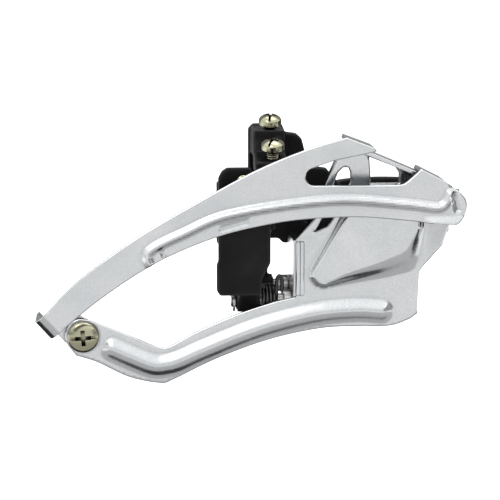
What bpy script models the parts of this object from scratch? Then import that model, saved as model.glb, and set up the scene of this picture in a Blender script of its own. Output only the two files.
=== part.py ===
"""Front derailleur for a bicycle with a 31.8 mm seat tube, built piece by piece.

Frame: the origin is on the seat tube's axis at the middle of the clamp, +X points forward,
+Y points away from the drive side and +Z points up along the seat tube. Lengths are in
millimetres and are turned into metres where a mesh is made. All pivots run along X.
"""

import math

import bmesh
import bpy
from mathutils import Matrix, Vector
from mathutils.geometry import delaunay_2d_cdt

MM = 0.001

# ---- driving dimensions, in millimetres ----
SHEET = 1.2                      # thickness of the cage's steel sheet
OUTER_FACE = -48.0               # Y of the outer cage plate's flat face
INNER_FACE = -36.0               # Y of the inner cage plate's flat face
FIT = 0.3                        # gap between pieces that rest on each other

TUBE_RADIUS = 15.9               # half of a 31.8 mm seat tube
CLAMP_RADIUS = 19.1
CLAMP_HALF_HEIGHT = 7.0
CLAMP_HINGE = (20.5, 0.0)        # X, Y of the clamp's hinge pin
KNUCKLE_TOP = 4.4                # Z range of the upper fixed knuckle; the lower one mirrors it
KNUCKLE_LOW = 1.7
KNUCKLE_RADIUS = 2.6
BAND_KNUCKLE = 1.4               # half height of the band's own knuckle
CLAMP_BOLT_X = -24.0

PIN_RADIUS = 1.9
BUSH_INNER = 2.05
BUSH_OUTER = 2.55
BARREL_BORE = 2.7

# The four pivots of the linkage, as (Y, Z).
OUTER_TOP = (-33.0, 6.0)
INNER_TOP = (-22.0, 8.3)
OUTER_LOW = (-29.0, -22.7)
INNER_LOW = (-18.0, -20.4)

LEFT_EAR = (-52.0, -50.6)        # X ranges of the bracket's three ears
MIDDLE_EAR = (-41.3, -40.1)
RIGHT_EAR = (-36.4, -34.8)
REAR_FLANGE = (-32.2, -31.0)     # X range of the cage's rear flange, which carries the low pins

LIMIT_SCREW_X = -37.8
LIMIT_SCREW_LEAN = math.radians(15.0)
HIGH_SCREW_TIP = (-27.4, 12.4)   # Y, Z where each limit screw meets its horn
LOW_SCREW_TIP = (-16.9, 16.6)
LIMIT_THREAD_RADIUS = 1.8
HIGH_SCREW_LENGTH = 9.6
LOW_SCREW_LENGTH = 11.6
LIMIT_HEAD = (3.35, 3.2)         # radius, height
TAIL_HEAD = (4.5, 2.7)

TAIL_SCREW = (-92.9, -31.2)      # X, Z of the screw that closes the cage's tail
ANCHOR = (-46.9, 13.6)           # X, Z of the cable anchor bolt

ROUND = 24                       # sides of a round piece
SMOOTH_ANGLE = math.radians(35.0)
TINY = 1e-9
WELD = 0.001                     # points closer than this are one point


# ---- outlines ----
def curve(points, steps=3):
    """A smooth line through the points (Catmull-Rom), with `steps` pieces between two of them."""
    ends = [points[0]] + list(points) + [points[-1]]
    line = []
    for before, start, stop, after in zip(ends, ends[1:], ends[2:], ends[3:]):
        for step in range(steps):
            t = step / steps
            line.append(tuple(
                0.5 * (2 * b + (c - a) * t + (2 * a - 5 * b + 4 * c - d) * t ** 2
                       + (3 * b - a - 3 * c + d) * t ** 3)
                for a, b, c, d in zip(before, start, stop, after)))
    return line + [tuple(points[-1])]


def arc(centre, radius, start, stop, steps=8):
    """Points on a circle, with the angles in degrees."""
    angles = [math.radians(start + (stop - start) * step / steps) for step in range(steps + 1)]
    return [(centre[0] + radius * math.cos(a), centre[1] + radius * math.sin(a)) for a in angles]


def offset(line, distance):
    """The line moved sideways, to its left for a positive distance."""
    moved = []
    for index, point in enumerate(line):
        before = Vector(line[max(index - 1, 0)])
        after = Vector(line[min(index + 1, len(line) - 1)])
        along = (after - before).normalized()
        moved.append((point[0] - distance * along.y, point[1] + distance * along.x))
    return moved


def strip(line, thickness):
    """The closed outline of a strip that lies to the left of the line."""
    return list(line) + offset(line, thickness)[::-1]


def rib_creases(line, half_width):
    """The crest of a pressed rib and the closed line round its foot."""
    start = Vector(line[0]) + (Vector(line[0]) - Vector(line[1])).normalized() * half_width
    stop = Vector(line[-1]) + (Vector(line[-1]) - Vector(line[-2])).normalized() * half_width
    foot = [tuple(start)] + offset(line, half_width)
    foot += [tuple(stop)] + offset(line, -half_width)[::-1]
    return [(line, False), (foot, True)]


def distance_to(line, point):
    """Distance from a point to a line of straight pieces."""
    nearest = math.inf
    for start, stop in zip(line, line[1:]):
        a = Vector(start)
        run = Vector(stop) - a
        part = max(0.0, min(1.0, (Vector(point) - a).dot(run) / run.length_squared))
        nearest = min(nearest, (a + run * part - Vector(point)).length)
    return nearest


# ---- materials and objects ----
def material(name, colour, roughness, metallic):
    made = bpy.data.materials.new(name)
    made.use_nodes = True
    shader = made.node_tree.nodes["Principled BSDF"]
    shader.inputs["Base Color"].default_value = (*colour, 1.0)
    shader.inputs["Roughness"].default_value = roughness
    shader.inputs["Metallic"].default_value = metallic
    return made


def add(name, bm, finish):
    """Makes an object from a bmesh whose lengths are in millimetres."""
    bmesh.ops.recalc_face_normals(bm, faces=bm.faces)
    mesh = bpy.data.meshes.new(name)
    bm.to_mesh(mesh)
    bm.free()
    mesh.materials.append(finish)
    made = bpy.data.objects.new(name, mesh)
    bpy.context.scene.collection.objects.link(made)
    return made


def combine(target, tools, operation):
    """Joins tools to a target or cuts them from it, still at one unit to the millimetre."""
    for tool in tools:
        boolean = target.modifiers.new(tool.name, "BOOLEAN")
        boolean.operation = operation
        boolean.object = tool
        boolean.solver = "EXACT"
        bpy.context.view_layer.update()
        evaluated = target.evaluated_get(bpy.context.evaluated_depsgraph_get())
        bm = bmesh.new()
        bm.from_mesh(evaluated.to_mesh())
        bmesh.ops.remove_doubles(bm, verts=bm.verts, dist=WELD)
        bmesh.ops.dissolve_degenerate(bm, edges=bm.edges, dist=WELD)
        target.modifiers.remove(boolean)
        bm.to_mesh(target.data)
        bm.free()
        bpy.data.objects.remove(tool, do_unlink=True)
    return target


def join(target, *tools):
    return combine(target, tools, "UNION")


def cut(target, *tools):
    return combine(target, tools, "DIFFERENCE")


def to_metres(made):
    """Turns a finished piece's millimetres into metres, and shades its round faces smooth."""
    made.data.transform(Matrix.Scale(MM, 4))
    made.data.shade_smooth()
    made.data.set_sharp_from_angle(angle=SMOOTH_ANGLE)


def pivot_empty(name, centre):
    """An empty on a joint's axis, which carries the pieces that turn there."""
    empty = bpy.data.objects.new(name, None)
    empty.location = [MM * value for value in centre]
    empty.empty_display_size = 0.005
    bpy.context.scene.collection.objects.link(empty)
    return empty


def hang(empty, *pieces):
    """Parents pieces to an empty without moving them."""
    for piece in pieces:
        piece.parent = empty
        piece.matrix_parent_inverse.translation = -empty.location


# ---- solids ----
def place(axis, across, along):
    """A point from its two coordinates across an axis, in X, Y, Z order, and the one along it."""
    first, second = across
    return {"X": (along, first, second), "Y": (first, along, second), "Z": (first, second, along)}[axis]


def prism(name, outline, axis, low, high, finish):
    """An outline pushed along an axis, from low to high."""
    bm = bmesh.new()
    bottom = [bm.verts.new(place(axis, point, low)) for point in outline]
    top = [bm.verts.new(place(axis, point, high)) for point in outline]
    bm.faces.new(bottom)
    bm.faces.new(top[::-1])
    for index in range(len(outline)):
        after = (index + 1) % len(outline)
        bm.faces.new((bottom[index], top[index], top[after], bottom[after]))
    return add(name, bm, finish)


def block(name, x, y, z, finish):
    return prism(name, [(x[0], y[0]), (x[1], y[0]), (x[1], y[1]), (x[0], y[1])], "Z", *z, finish)


def turned(name, profile, axis, centre, finish, sides=ROUND, lean=0.0):
    """A profile of (radius, height) points turned about an axis through `centre`.

    A profile that does not start and end on the axis is closed into a ring. A lean tilts the
    axis about X, from +Z towards -Y.
    """
    bm = bmesh.new()
    rings = []
    for radius, height in profile:
        count = sides if radius > 0 else 1
        ring = []
        for side in range(count):
            angle = 2 * math.pi * side / sides
            across = (radius * math.cos(angle), radius * math.sin(angle))
            point = Vector(place(axis, across, height))
            if lean:
                point = Vector((
                    point.x,
                    point.y * math.cos(lean) - point.z * math.sin(lean),
                    point.y * math.sin(lean) + point.z * math.cos(lean)))
            ring.append(bm.verts.new(point + Vector(centre)))
        rings.append(ring)
    if profile[0][0] > 0:
        rings.append(rings[0])
    for upper, lower in zip(rings, rings[1:]):
        for side in range(sides):
            after = (side + 1) % sides
            if len(upper) == 1:
                bm.faces.new((upper[0], lower[side], lower[after]))
            elif len(lower) == 1:
                bm.faces.new((upper[side], upper[after], lower[0]))
            else:
                bm.faces.new((upper[side], upper[after], lower[after], lower[side]))
    return add(name, bm, finish)


def rod(name, radius, axis, across, low, high, finish, sides=ROUND):
    profile = [(0, low), (radius, low), (radius, high), (0, high)]
    return turned(name, profile, axis, place(axis, across, 0.0), finish, sides)


def ring(name, inner, outer, axis, across, low, high, finish, sides=ROUND):
    profile = [(inner, low), (outer, low), (outer, high), (inner, high)]
    return turned(name, profile, axis, place(axis, across, 0.0), finish, sides)


def wire(name, points, radius, finish, sides=6):
    """A round wire along the points, with flat ends."""
    bm = bmesh.new()
    rings = []
    side_way = Vector((1, 0, 0))
    for index, point in enumerate(points):
        before = Vector(points[max(index - 1, 0)])
        along = (Vector(points[min(index + 1, len(points) - 1)]) - before).normalized()
        side_way = (side_way - along * side_way.dot(along)).normalized()
        other_way = along.cross(side_way)
        rings.append([
            bm.verts.new(Vector(point) + radius * (
                side_way * math.cos(2 * math.pi * side / sides)
                + other_way * math.sin(2 * math.pi * side / sides)))
            for side in range(sides)])
    for first, second in zip(rings, rings[1:]):
        for side in range(sides):
            after = (side + 1) % sides
            bm.faces.new((first[side], first[after], second[after], second[side]))
    bm.faces.new(rings[0][::-1])
    bm.faces.new(rings[-1])
    return add(name, bm, finish)


def inside(outline, x, z):
    """True where the point lies inside the closed outline."""
    odd = False
    for (ax, az), (bx, bz) in zip(outline, outline[1:] + outline[:1]):
        if (az > z) != (bz > z) and x < (bx - ax) * (z - az) / (bz - az) + ax:
            odd = not odd
    return odd


def in_sheet(corners, outline, holes):
    """True where a triangle lies inside the outline and in none of the holes."""
    middle = sum(corners, Vector((0, 0))) / len(corners)
    return inside(outline, *middle) and not any(inside(hole, *middle) for hole in holes)


def pressed_sheet(name, outline, holes, creases, height, face, finish):
    """A steel sheet in the XZ plane, pressed towards -Y by height(x, z).

    The creases are lines that the sheet's facets follow.
    """
    points = []
    edges = []
    for line, closed in [(outline, True)] + [(h, True) for h in holes] + creases:
        first = len(points)
        points.extend(Vector(point) for point in line)
        edges.extend((first + i, first + i + 1) for i in range(len(line) - 1))
        if closed:
            edges.append((len(points) - 1, first))
    flat, _, faces, _, _, _ = delaunay_2d_cdt(points, edges, [], 0, 1e-5)
    faces = [corners for corners in faces if in_sheet([flat[i] for i in corners], outline, holes)]
    bm = bmesh.new()
    front = [bm.verts.new((p.x, face - height(p.x, p.y), p.y)) for p in flat]
    back = [bm.verts.new((v.co.x, v.co.y + SHEET, v.co.z)) for v in front]
    for corners in faces:
        bm.faces.new([front[i] for i in corners])
        bm.faces.new([back[i] for i in reversed(corners)])
    rim = [edge for edge in bm.edges if edge.is_boundary and edge.verts[0] in set(front)]
    pairs = dict(zip(front, back))
    for edge in rim:
        start, stop = edge.verts
        bm.faces.new((start, stop, pairs[stop], pairs[start]))
    for loose in [v for v in bm.verts if not v.link_faces]:
        bm.verts.remove(loose)
    return add(name, bm, finish)


# ---- the outer cage plate ----
TAB_REAR = [(-18.5, 27.0), (-10.5, 24.0)]    # fold lines of the two tabs that reach the inner plate
TAB_FRONT = [(2.5, 18.0), (9.5, 14.5)]
TAIL_BEND = [(-103.0, -22.0), (-98.5, -27.0)]
TAIL_RADIUS = 4.5
WINDOW_END = (-27.5, 16.0)       # centre of the window's round end
WINDOW_RADIUS = 2.5

OUTER_RIB = curve([
    (-74.0, -8.0), (-74.5, -5.5), (-71.5, -3.0), (-64.0, 0.5), (-53.5, 5.0), (-37.0, 8.0),
    (-19.0, 9.5), (-1.0, 8.0), (7.0, 7.0), (9.5, 8.0), (11.0, 11.0)], 3)
OUTER_RIB_HALF_WIDTH = 1.7
OUTER_RIB_HEIGHT = 1.1


def outer_outline():
    top = curve([
        TAIL_BEND[0], (-93.0, -12.0), (-77.0, -0.5), (-62.5, 8.0), (-45.0, 17.5), (-30.5, 23.5),
        TAB_REAR[0]], 3)
    window = [TAB_REAR[1], (-10.0, 23.0), (-22.0, 20.5)]
    window += arc(WINDOW_END, WINDOW_RADIUS, 105, 270, 8)
    window += curve([(-4.0, 13.5), (-2.0, 14.0), (1.0, 16.5), TAB_FRONT[0]], 2)
    nose = [TAB_FRONT[1], (12.0, 12.5)]
    nose += curve([(13.5, 11.5), (15.5, 9.0), (15.5, 5.5), (14.0, 3.0), (12.5, 2.0)], 2)
    low = curve([
        (6.0, 2.5), (-3.0, 3.5), (-15.5, 4.5), (-30.0, 4.0), (-41.0, 2.5), (-55.5, -1.0),
        (-72.0, -8.0), (-87.5, -18.0), TAIL_BEND[1]], 3)
    return top + window + nose + low


def outer_height(x, z):
    share = min(1.0, distance_to(OUTER_RIB, (x, z)) / OUTER_RIB_HALF_WIDTH)
    return OUTER_RIB_HEIGHT * (1.0 - share)


def tail_curl(finish):
    """The plate's tail: a round bend, then a wall back to the inner plate."""
    wall_end = INNER_FACE + FIT + 2 * SHEET - OUTER_FACE
    start, stop = [Vector(point) for point in TAIL_BEND]
    out = Vector((-(start - stop).y, (start - stop).x)).normalized()
    bend = arc((0.0, TAIL_RADIUS), TAIL_RADIUS, -90, 0, 5)
    path = [(-1.0, 0.0)] + bend + [(TAIL_RADIUS, wall_end)]
    profile = strip(path, SHEET)
    bm = bmesh.new()
    loops = []
    for corner in (start, stop):
        loops.append([
            bm.verts.new((corner.x + out.x * away, OUTER_FACE + back, corner.y + out.y * away))
            for away, back in profile])
    bm.faces.new(loops[0])
    bm.faces.new(loops[1][::-1])
    for index in range(len(profile)):
        after = (index + 1) % len(profile)
        bm.faces.new((loops[0][index], loops[1][index], loops[1][after], loops[0][after]))
    return add("tail_curl_tool", bm, finish)


def outer_plate(finish):
    creases = rib_creases(OUTER_RIB, OUTER_RIB_HALF_WIDTH)
    plate = pressed_sheet(
        "outer_cage_plate", outer_outline(), [], creases, outer_height, OUTER_FACE, finish)
    tabs = [
        prism(f"tab_tool_{index}", strip(line, -SHEET), "Y", OUTER_FACE + 0.4, INNER_FACE - 1.0, finish)
        for index, line in enumerate((TAB_REAR, TAB_FRONT))]
    lug_face = INNER_FACE + SHEET + FIT
    lug = [(-106.0, -25.0), (-102.0, -30.0), (-98.0, -34.5)]
    lug += arc(TAIL_SCREW, 5.0, 200, 400, 10)
    lug += [(-97.5, -23.5)]
    tail_lug = prism("tail_lug_tool", lug, "Y", lug_face, lug_face + SHEET, finish)
    join(plate, tail_curl(finish), tail_lug, *tabs)
    return cut(plate, rod("tail_hole_tool", 2.8, "Y", TAIL_SCREW, -40.0, -30.0, finish))


# ---- the inner cage plate ----
INNER_RIB = curve([
    (-84.5, -35.0), (-78.0, -38.0), (-73.0, -40.0), (-69.5, -40.0), (-65.5, -39.0),
    (-57.5, -35.5), (-42.0, -29.5), (-26.0, -25.5), (-14.0, -24.5), (-6.5, -25.0)], 3)
INNER_RIB_HALF_WIDTH = 3.7
INNER_RIB_HEIGHT = 2.0
DISH_HEIGHT = 4.0                # how far the dish is pressed out at its deep corner
DISH_CORNER = (3.5, -16.0)       # X, Z of the deep corner
DISH_LEAN = (0.08, 0.06)         # how much shallower it gets per millimetre away from there
DISH_RIM = [
    (-20.0, 1.0), (-24.5, -7.0), (-28.0, -12.5), (-28.0, -15.0), (-26.5, -17.0), (-24.0, -18.0),
    (-5.0, -15.5), (2.0, -14.0), (4.0, -12.5), (5.0, -9.5), (6.0, 4.0), (3.0, 10.0),
    (-12.5, 11.0), (-15.5, 9.0)]
DISH_FACE = [
    (-18.0, 1.0), (-22.5, -7.0), (-26.0, -13.0), (-26.0, -14.5), (-24.5, -16.5), (-23.0, -16.5),
    (-18.0, -13.5), (-9.0, -10.0), (-0.5, -6.0), (2.0, -2.5), (3.5, 0.0), (3.5, 3.0), (1.5, 8.0),
    (-12.0, 8.5), (-14.0, 7.0)]
FLARE_START = 6.2                # X where the front of the plate starts to lean back
FLARE_SLOPE = 0.35
BRIDGE = [(-17.5, 25.0), (2.5, 16.5), (9.0, 13.0)]
REAR_EDGE = [(-31.5, -20.5), (-31.5, -3.5), (-26.0, 2.5), (-23.0, 12.5), (-19.5, 20.5)]


def inner_outline():
    arm_top = curve([
        (-91.0, -26.5), (-79.0, -31.5), (-72.0, -34.5), (-68.0, -34.5), (-59.5, -30.0),
        (-47.5, -25.0), (-38.0, -22.0), REAR_EDGE[0]], 2)
    front = [(12.5, 9.0), (14.0, 3.0), (13.5, -0.5), (11.5, -6.0), (9.0, -8.5), (5.5, -12.0)]
    front += [(4.5, -13.5), (4.0, -26.0)]
    low = curve([
        (2.0, -27.5), (-4.0, -29.5), (-14.0, -29.5), (-24.5, -30.0), (-39.0, -33.0),
        (-54.5, -38.5), (-67.0, -44.5), (-71.0, -45.5), (-80.0, -43.5), (-89.0, -39.0),
        (-95.0, -37.0)], 2)
    return arm_top + REAR_EDGE[1:] + BRIDGE + front + low + arc(TAIL_SCREW, 5.2, 215, 105, 6)


def rear_slot():
    """The long opening between the plate's rear edge and the dish."""
    return [
        (-26.0, -1.5), (-22.5, 0.0), (-21.0, 2.0), (-18.0, 8.0), (-16.0, 13.0), (-16.0, 15.5),
        (-16.5, 17.0), (-18.0, 17.0), (-19.5, 15.5), (-21.0, 11.5), (-24.0, 2.5)]


def bridge_window():
    """The opening under the bridge."""
    return [(-10.5, 20.0), (-3.0, 17.0), (-2.0, 15.5), (-2.0, 12.5), (-10.0, 12.5)]


def dish_depth(x, z):
    """How far the dish's face stands out of the plate, a plane that leans away from its corner."""
    return (
        DISH_HEIGHT - DISH_LEAN[0] * (DISH_CORNER[0] - x) - DISH_LEAN[1] * (z - DISH_CORNER[1]))


def inner_height(x, z):
    if inside(DISH_RIM, x, z):
        to_rim = distance_to(DISH_RIM + DISH_RIM[:1], (x, z))
        to_face = 0.0 if inside(DISH_FACE, x, z) else distance_to(DISH_FACE + DISH_FACE[:1], (x, z))
        return dish_depth(x, z) * to_rim / (to_rim + to_face + TINY)
    if x > FLARE_START and z > -13.0:
        return -FLARE_SLOPE * (x - FLARE_START)
    share = min(1.0, distance_to(INNER_RIB, (x, z)) / INNER_RIB_HALF_WIDTH)
    return INNER_RIB_HEIGHT * (1.0 - share)


def inner_plate(finish):
    creases = rib_creases(INNER_RIB, INNER_RIB_HALF_WIDTH)
    creases += [(DISH_RIM, True), (DISH_FACE, True)]
    creases += [([(FLARE_START, 11.0), (FLARE_START, -10.8)], False)]
    plate = pressed_sheet(
        "inner_cage_plate", inner_outline(), [rear_slot(), bridge_window()], creases,
        inner_height, INNER_FACE, finish)
    back = INNER_FACE + 0.4
    flange_outline = [(back, -4.0), (back, -20.5), (-33.5, -24.0)]
    flange_outline += arc(OUTER_LOW, 4.2, 200, 280, 4) + arc(INNER_LOW, 4.0, 275, 380, 5)
    flange_outline += [(-14.0, -12.0), (-17.0, -4.5), (-20.0, -4.0)]
    flange = prism("rear_flange_tool", flange_outline, "X", *REAR_FLANGE, finish)
    edge = prism("edge_flange_tool", strip(REAR_EDGE[1:], -SHEET), "Y", back, -31.5, finish)
    bridge = prism("bridge_tool", strip(BRIDGE, -SHEET), "Y", -44.0, INNER_FACE + 0.8, finish)
    front = prism(
        "front_flange_tool", strip([(4.5, -14.0), (4.0, -25.5)], -SHEET), "Y", back, -31.0, finish)
    join(plate, flange, edge, bridge, front)
    return cut(
        plate,
        rod("tail_bore_tool", 2.8, "Y", TAIL_SCREW, -40.0, -30.0, finish),
        rod("outer_pin_bore_tool", 1.55, "X", OUTER_LOW, -34.0, -29.0, finish),
        rod("inner_pin_bore_tool", 1.55, "X", INNER_LOW, -34.0, -29.0, finish))


# ---- screws ----
def cross_recess(name, axis, centre, top, size, finish, lean=0.0):
    """A cross-shaped cutter that sinks into a screw head from `top`."""
    made = []
    for index, (wide, narrow) in enumerate(((size, size * 0.3), (size * 0.3, size))):
        profile = [(-wide / 2, -narrow / 2), (wide / 2, -narrow / 2),
                   (wide / 2, narrow / 2), (-wide / 2, narrow / 2)]
        bar = prism(f"{name}_{index}", profile, axis, top - 1.3, top + 1.0, finish)
        bar.location = centre
        bar.rotation_euler = (lean, 0.0, 0.0)
        made.append(bar)
    return made


def pan_head_screw(name, axis, centre, direction, head, thread, finish, lean=0.0):
    """A pan-head screw. head is (radius, height), thread is (radius, length), and `centre` is
    the middle of the bearing face under the head."""
    radius, height = head
    shank, length = thread
    profile = [
        (0, height), (radius * 0.55, height), (radius * 0.85, height * 0.8),
        (radius, height * 0.4), (radius, 0), (shank, 0), (shank, -length + 0.5),
        (shank - 0.5, -length), (0, -length)]
    profile = [(r, direction * h) for r, h in profile]
    screw = turned(name, profile, axis, centre, finish, 20, lean)
    top = height if direction > 0 else -height + 0.3
    return cut(screw, *cross_recess(f"{name}_recess_tool", axis, centre, top, radius * 1.1, finish, lean))


def along_lean(tip, length):
    """The point `length` up a limit screw's axis from its tip, as (Y, Z)."""
    return (
        tip[0] - length * math.sin(LIMIT_SCREW_LEAN), tip[1] + length * math.cos(LIMIT_SCREW_LEAN))


def limit_screw(name, tip, length, finish):
    seat = along_lean(tip, length)
    return pan_head_screw(
        name, "Z", (LIMIT_SCREW_X, *seat), 1, LIMIT_HEAD, (LIMIT_THREAD_RADIUS, length), finish,
        LIMIT_SCREW_LEAN)


# ---- the bracket and its clamp ----
def half_ring(low_angle, high_angle):
    outside = arc((0.0, 0.0), CLAMP_RADIUS, low_angle, high_angle, 20)
    return outside + arc((0.0, 0.0), TUBE_RADIUS, high_angle, low_angle, 20)


def knuckle_leaf(side):
    """The outline of a hinge knuckle and the leaf that joins it to a half of the clamp."""
    x, y = CLAMP_HINGE
    leaf = [(16.6, 4.2 * side), (17.6, 0.9 * side), (x, y)]
    return leaf + [(x + 0.3, y + 2.4 * side), (18.4, 4.4 * side)]


def bracket(finish):
    wall = [
        (-53.0, -9.0), (-53.0, 9.5), (-43.5, 9.5), (-43.5, 25.5), (-42.0, 27.0), (-33.5, 27.0),
        (-32.5, 24.5), (-29.0, 24.0), (-27.5, 22.5), (-26.5, 18.5), (-24.5, 14.0), (-20.0, 13.5),
        (-14.5, 7.0), (-14.5, -7.0), (-20.0, -9.0), (-33.0, -9.0), (-34.5, -7.5), (-37.5, -7.5),
        (-39.0, -9.0)]
    body = prism("bracket_body", wall, "Y", -11.0, -7.0, finish)
    lug = block("bolt_lug_tool", (-29.5, -18.2), (-8.0, -1.2), (-6.0, 6.0), finish)
    clamp = prism(
        "clamp_half_tool", half_ring(183.5, 351.0), "Z", -CLAMP_HALF_HEIGHT, CLAMP_HALF_HEIGHT,
        finish)
    far_boss = block("far_boss_tool", (-43.0, -33.8), (-24.5, -8.0), (18.6, 26.6), finish)
    near_boss = prism(
        "near_boss_tool",
        [(-33.2, 15.0), (-22.6, 15.0), (-22.6, 25.0), (-24.0, 25.4), (-25.6, 20.6), (-33.2, 18.4)],
        "X", -43.0, -33.8, finish)
    left = [(-7.6, -9.0), (-7.6, 9.2), (-25.0, 9.2)] + arc(OUTER_TOP, 2.8, 80, 270, 10)
    left += [(-25.0, -6.0)]
    left_ear = prism("left_ear_tool", left, "X", *LEFT_EAR, finish)
    middle = [(-7.6, 4.0), (-7.6, 25.6), (-24.0, 25.6), (-24.6, 16.0)]
    middle += arc(INNER_TOP, 3.8, 130, 290, 6)
    middle_ear = prism("middle_ear_tool", middle, "X", *MIDDLE_EAR, finish)
    right = [(-7.6, -2.0), (-7.6, 25.6), (-24.0, 25.6), (-30.0, 17.0)]
    right += arc(OUTER_TOP, 4.0, 120, 290, 8) + [(-22.0, 3.4)]
    right_ear = prism("right_ear_tool", right, "X", *RIGHT_EAR, finish)
    knuckles = []
    for index, (low, high) in enumerate(((-KNUCKLE_TOP, -KNUCKLE_LOW), (KNUCKLE_LOW, KNUCKLE_TOP))):
        knuckles.append(rod(
            f"fixed_knuckle_tool_{index}", KNUCKLE_RADIUS, "Z", CLAMP_HINGE, low, high, finish))
        knuckles.append(prism(f"fixed_leaf_tool_{index}", knuckle_leaf(-1), "Z", low, high, finish))
    join(body, lug, clamp, far_boss, near_boss, left_ear, middle_ear, right_ear, *knuckles)
    pin_hole = PIN_RADIUS + 0.15
    bores = [
        rod("bolt_bore_tool", 3.2, "Y", (CLAMP_BOLT_X, 0.0), -15.0, 5.0, finish),
        rod("outer_top_bore_tool", pin_hole, "X", OUTER_TOP, -60.0, -32.0, finish),
        rod("inner_top_bore_tool", pin_hole, "X", INNER_TOP, -42.0, -32.0, finish),
        rod("hinge_bore_tool", 1.4, "Z", CLAMP_HINGE, -9.0, 9.0, finish)]
    for name, tip in (("high", HIGH_SCREW_TIP), ("low", LOW_SCREW_TIP)):
        middle_of_screw = along_lean(tip, 6.0)
        bores.append(turned(
            f"{name}_screw_bore_tool",
            [(0, -14.0), (LIMIT_THREAD_RADIUS + 0.3, -14.0), (LIMIT_THREAD_RADIUS + 0.3, 14.0), (0, 14.0)],
            "Z", (LIMIT_SCREW_X, *middle_of_screw), finish, 20, LIMIT_SCREW_LEAN))
    return cut(body, *bores)


def clamp_band(finish):
    band = prism(
        "clamp_band", half_ring(9.0, 176.5), "Z", -CLAMP_HALF_HEIGHT, CLAMP_HALF_HEIGHT, finish)
    lug = block("band_lug_tool", (-29.5, -18.2), (1.2, 5.2), (-6.0, 6.0), finish)
    knuckle = rod(
        "band_knuckle_tool", KNUCKLE_RADIUS, "Z", CLAMP_HINGE, -BAND_KNUCKLE, BAND_KNUCKLE, finish)
    leaf = prism("band_leaf_tool", knuckle_leaf(1), "Z", -BAND_KNUCKLE, BAND_KNUCKLE, finish)
    join(band, lug, knuckle, leaf)
    return cut(
        band,
        rod("band_bolt_bore_tool", 2.8, "Y", (CLAMP_BOLT_X, 0.0), -2.0, 8.0, finish),
        rod("band_hinge_bore_tool", 1.4, "Z", CLAMP_HINGE, -4.0, 4.0, finish))


def clamp_bolt(finish):
    """A socket-head bolt through the band's lug into the bracket."""
    profile = [
        (0, 9.6), (3.8, 9.6), (4.25, 9.0), (4.25, 5.5), (2.4, 5.5), (2.4, -6.4), (1.9, -7.0), (0, -7.0)]
    bolt = turned("clamp_bolt", profile, "Y", (CLAMP_BOLT_X, 0.0, 0.0), finish)
    return cut(bolt, rod("clamp_bolt_socket_tool", 2.3, "Y", (CLAMP_BOLT_X, 0.0), 7.0, 11.0, finish, 6))


# ---- the linkage ----
def outer_link(finish):
    face = [
        (-54.5, -18.0), (-54.5, -10.5), (-54.0, -9.5), (-54.0, 14.5), (-53.0, 16.5), (-51.5, 17.5),
        (-44.5, 17.5), (-44.0, 10.0), (-39.0, 8.5), (-39.0, -10.0), (-41.5, -15.0),
        (-41.5, -19.5), (-53.5, -19.5)]
    link = prism("outer_link", face, "Y", -38.6, -36.2, finish)
    top_web = [(-37.4, 9.4), (-33.0, 9.4), (-33.0, 2.6), (-37.4, -1.0)]
    low_web = [(-37.4, -12.0), (-34.0, -12.0), (-26.2, -21.0), (-27.0, -25.2), (-30.0, -25.8), (-37.4, -19.2)]
    join(
        link,
        prism("link_top_web_tool", top_web, "X", -50.0, -37.6, finish),
        rod("link_top_barrel_tool", 3.6, "X", OUTER_TOP, LEFT_EAR[1] + FIT + 0.1, -37.0, finish),
        prism("link_low_web_tool", low_web, "X", -48.2, -42.2, finish),
        rod("link_low_barrel_tool", 3.4, "X", OUTER_LOW, -48.2, -41.8, finish))
    return cut(
        link,
        rod("link_top_bore_tool", BARREL_BORE, "X", OUTER_TOP, -60.0, -30.0, finish),
        rod("link_low_bore_tool", BARREL_BORE, "X", OUTER_LOW, -50.0, -40.0, finish),
        rod("anchor_bore_tool", 2.1, "Y", ANCHOR, -45.0, -30.0, finish))


def inner_link(finish):
    """The rear link, with the two horns that the limit screws stop."""
    link = rod("inner_link", 3.4, "X", INNER_TOP, -39.7, -36.8, finish)
    upper_arm = [(-23.4, 7.0), (-23.0, 0.0), (-19.8, 0.0), (-20.6, 7.0)]
    lower_arm = [(-23.1, 2.6), (-19.5, -19.4), (-16.6, -19.4), (-20.1, 2.6)]
    near_horn = [(-22.0, 4.9), (-27.6, 6.6), (-28.6, 7.6), (-27.8, 8.5), (-24.0, 9.6), (-21.0, 8.0)]
    far_horn = [(-22.0, 6.0), (-22.4, 11.6), (-18.4, 16.0), (-16.9, 16.3), (-15.8, 15.3), (-18.8, 9.6)]
    join(
        link,
        prism("inner_upper_arm_tool", upper_arm, "X", -39.6, -36.9, finish),
        prism("inner_lower_arm_tool", lower_arm, "X", -41.6, -38.4, finish),
        rod("inner_low_barrel_tool", 3.4, "X", INNER_LOW, -43.2, -36.8, finish),
        prism("near_horn_tool", near_horn, "X", -39.6, -36.9, finish),
        prism("far_horn_tool", far_horn, "X", -39.6, -36.9, finish))
    return cut(
        link,
        rod("inner_top_bore_hole_tool", BARREL_BORE, "X", INNER_TOP, -42.0, -30.0, finish),
        rod("inner_low_bore_hole_tool", BARREL_BORE, "X", INNER_LOW, -45.0, -30.0, finish))


def low_pin(name, centre, left, finish):
    """A shouldered pin whose thin end is riveted through the cage's rear flange."""
    profile = [
        (0, left), (PIN_RADIUS - 0.3, left), (PIN_RADIUS, left + 0.3), (PIN_RADIUS, -34.4),
        (3.1, -34.4), (3.1, REAR_FLANGE[0] - 0.15), (1.4, REAR_FLANGE[0] - 0.15),
        (1.4, REAR_FLANGE[1] + 0.15), (2.6, REAR_FLANGE[1] + 0.15), (1.8, -30.0), (0, -29.8)]
    return turned(name, profile, "X", place("X", centre, 0.0), finish)


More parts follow.
